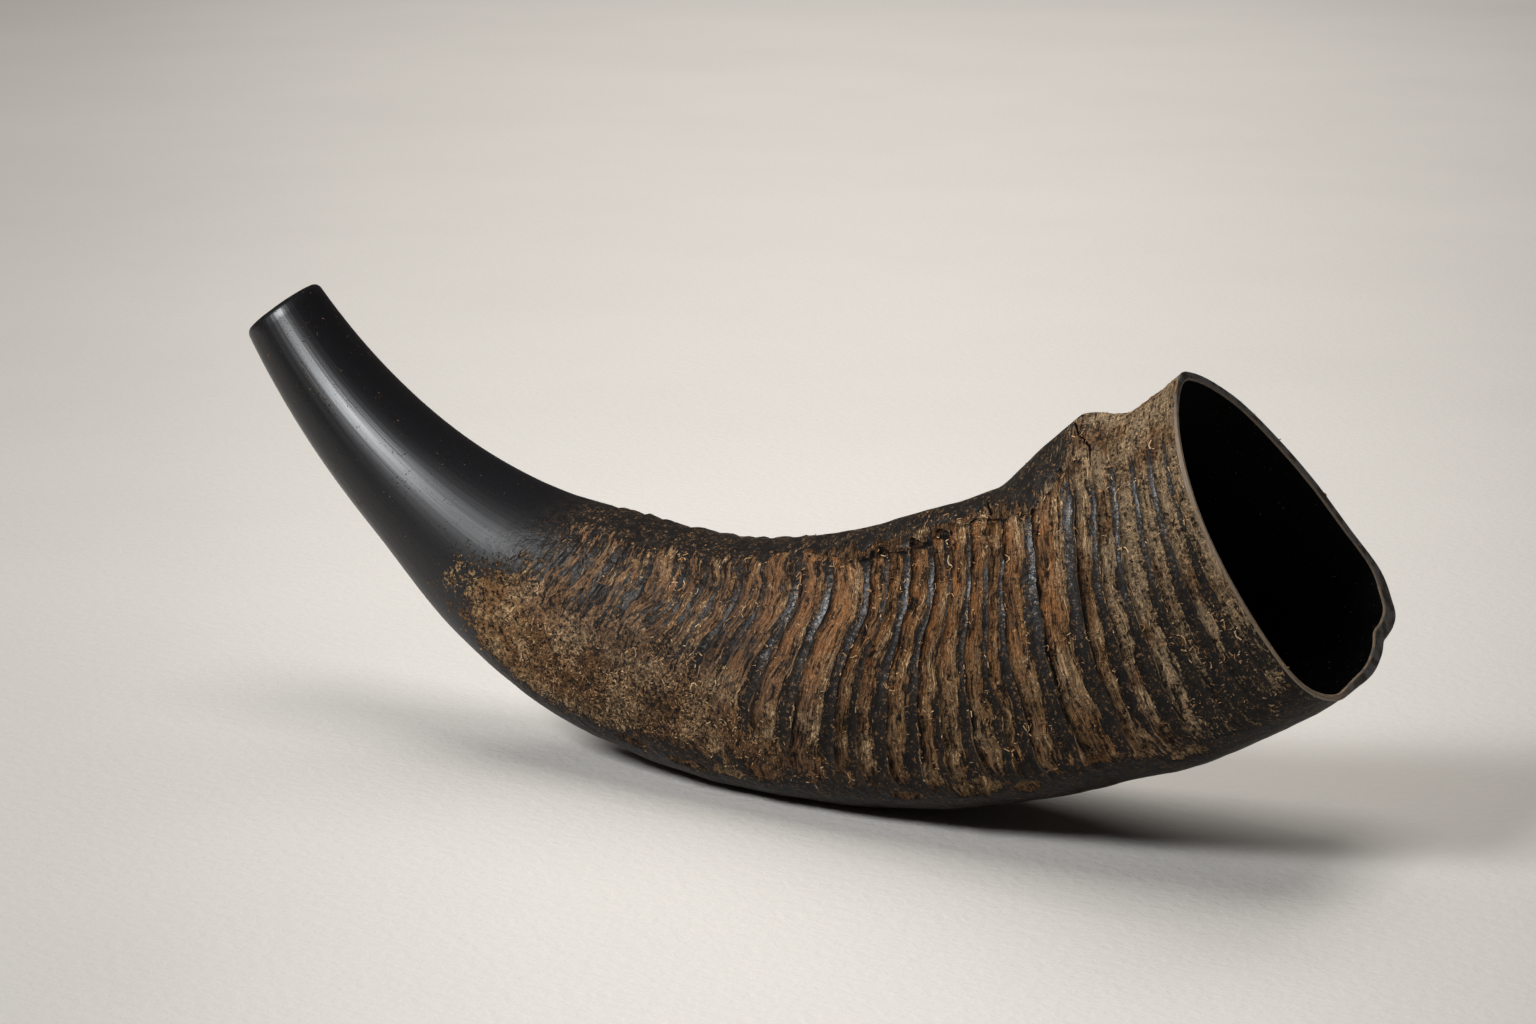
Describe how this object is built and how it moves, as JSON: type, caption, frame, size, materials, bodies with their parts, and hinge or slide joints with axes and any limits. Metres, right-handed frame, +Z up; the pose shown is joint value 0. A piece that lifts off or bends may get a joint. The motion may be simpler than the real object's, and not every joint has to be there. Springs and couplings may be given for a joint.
{
  "type": "buffalo horn",
  "caption": "Curved buffalo horn, hollow from its wide ridged mouth and solid and polished black towards the cut tip, lying on its belly with its ends raised.",
  "frame": {"origin": "on the surface the horn rests on, under the middle of its bounding box", "axes": "+X along the horn from the cut tip to the mouth, +Z up, -Y the ridged side that faces the viewer"},
  "size_m": [0.405, 0.0928, 0.1497],
  "materials": {
    "horn": "black horn, polished to a gloss towards the tip, with rough brown crust between dark ridges from the middle to the mouth and a plain dark hollow"
  },
  "bodies": {
    "root": {"horn": "horn"}
  },
  "joints": []
}
